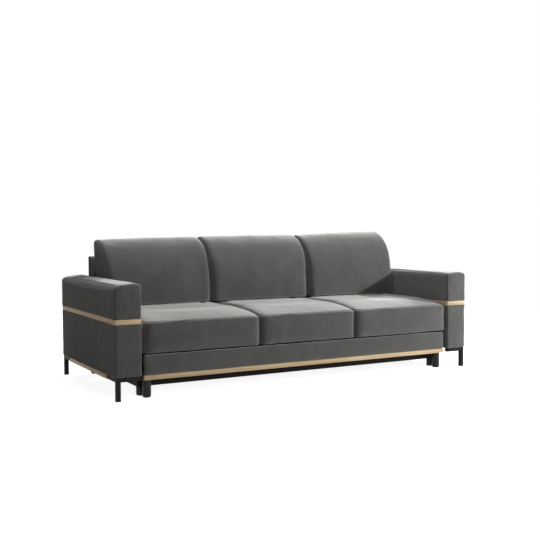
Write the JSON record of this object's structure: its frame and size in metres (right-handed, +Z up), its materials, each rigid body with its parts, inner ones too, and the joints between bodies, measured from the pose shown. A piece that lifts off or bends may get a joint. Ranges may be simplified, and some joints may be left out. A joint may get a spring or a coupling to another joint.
{
  "type": "sofa bed",
  "caption": "Long sofa bed with box arms banded in oak, loose wedge back cushions, a pull-out seat on rollers and a back that folds flat behind it.",
  "frame": {"origin": "on the floor, under the middle of the arms' length and depth", "axes": "+X along the sofa to the sitter's left arm seen from behind (right in the front view), +Y to the rear, +Z up"},
  "size_m": [2.4, 1.01, 0.8806],
  "materials": {
    "velvet": "dark grey velvet with a soft sheen",
    "oak": "light oak with fine lengthwise grain, satin lacquer",
    "dark_steel": "dark brown-black powder coat, satin",
    "black_leg": "turned wood, black satin lacquer",
    "dark_board": "dark brown-black laminated board",
    "glide_plastic": "black moulded plastic",
    "roller_nylon": "black nylon",
    "spring_steel": "drawn spring steel",
    "chipboard": "raw chipboard",
    "beech": "planed beech",
    "zinc_steel": "zinc-plated pressed steel"
  },
  "bodies": {
    "base": {"left_arm_frame": "chipboard", "right_arm_frame": "chipboard", "left_arm_lower_cover": "velvet", "right_arm_lower_cover": "velvet", "left_arm_oak_band": "oak", "right_arm_oak_band": "oak", "left_arm_upper_pad": "velvet", "right_arm_upper_pad": "velvet", "left_arm_base_bar": "dark_steel", "right_arm_base_bar": "dark_steel", "arm_bar_returns": "dark_steel", "left_arm_oak_inlay": "oak", "right_arm_oak_inlay": "oak", "left_arm_legs": "dark_steel", "right_arm_legs": "dark_steel", "arm_leg_glides": "glide_plastic", "arm_bolts": "zinc_steel", "base_front_board": "dark_board", "base_rear_board": "dark_board", "left_base_board": "dark_board", "right_base_board": "dark_board", "base_cross_rails": "beech", "base_corner_blocks": "beech", "base_legs": "black_leg", "base_leg_glides": "glide_plastic", "left_roller_channel": "zinc_steel", "right_roller_channel": "zinc_steel", "left_guide_track": "zinc_steel", "right_guide_track": "zinc_steel", "track_screws": "zinc_steel"},
    "seat": {"seat_front_rail": "beech", "seat_rear_rail": "beech", "left_seat_rail": "beech", "right_seat_rail": "beech", "seat_cross_rails": "beech", "seat_springs": "spring_steel", "seat_apron": "velvet", "seat_oak_strip": "oak", "left_seat_cushion": "velvet", "middle_seat_cushion": "velvet", "right_seat_cushion": "velvet", "seat_legs": "black_leg", "seat_leg_glides": "glide_plastic", "left_pivot_bracket": "zinc_steel", "right_pivot_bracket": "zinc_steel", "left_roller_arm": "zinc_steel", "right_roller_arm": "zinc_steel"},
    "back": {"back_frame_rails": "beech", "back_frame_posts": "beech", "back_springs": "spring_steel", "back_cover": "velvet", "back_rear_cover": "velvet", "left_back_hinge": "zinc_steel", "right_back_hinge": "zinc_steel"},
    "left_roller": {"left_roller": "roller_nylon"},
    "right_roller": {"right_roller": "roller_nylon"},
    "left_loose_cushion": {"left_back_cushion": "velvet"},
    "middle_loose_cushion": {"middle_back_cushion": "velvet"},
    "right_loose_cushion": {"right_back_cushion": "velvet"}
  },
  "joints": [
    {"name": "seat_slide", "type": "slide", "parent": "base", "child": "seat", "axis": [0, -1, 0], "range_m": [0, 0.34]},
    {"name": "back_fold", "type": "hinge", "parent": "seat", "child": "back", "pos_m": [0, 0.414, 0.354], "axis": [-1, 0, 0], "range_deg": [0, 90]},
    {"name": "left_roller_spin", "type": "hinge", "parent": "seat", "child": "left_roller", "pos_m": [-1.02, 0.28, 0.1563], "axis": [1, 0, 0], "continuous": true},
    {"name": "right_roller_spin", "type": "hinge", "parent": "seat", "child": "right_roller", "pos_m": [1.02, 0.28, 0.1563], "axis": [1, 0, 0], "continuous": true},
    {"name": "left_cushion_lift", "type": "slide", "parent": "seat", "child": "left_loose_cushion", "axis": [0, 0, 1], "range_m": [0, 0.45]},
    {"name": "middle_cushion_lift", "type": "slide", "parent": "seat", "child": "middle_loose_cushion", "axis": [0, 0, 1], "range_m": [0, 0.45]},
    {"name": "right_cushion_lift", "type": "slide", "parent": "seat", "child": "right_loose_cushion", "axis": [0, 0, 1], "range_m": [0, 0.45]}
  ],
  "couplings": [
    {"joint": "back_fold", "follows": "seat_slide", "rad_per_m": 4.62},
    {"joint": "left_roller_spin", "follows": "seat_slide", "rad_per_m": 71.429},
    {"joint": "right_roller_spin", "follows": "seat_slide", "rad_per_m": 71.429}
  ]
}
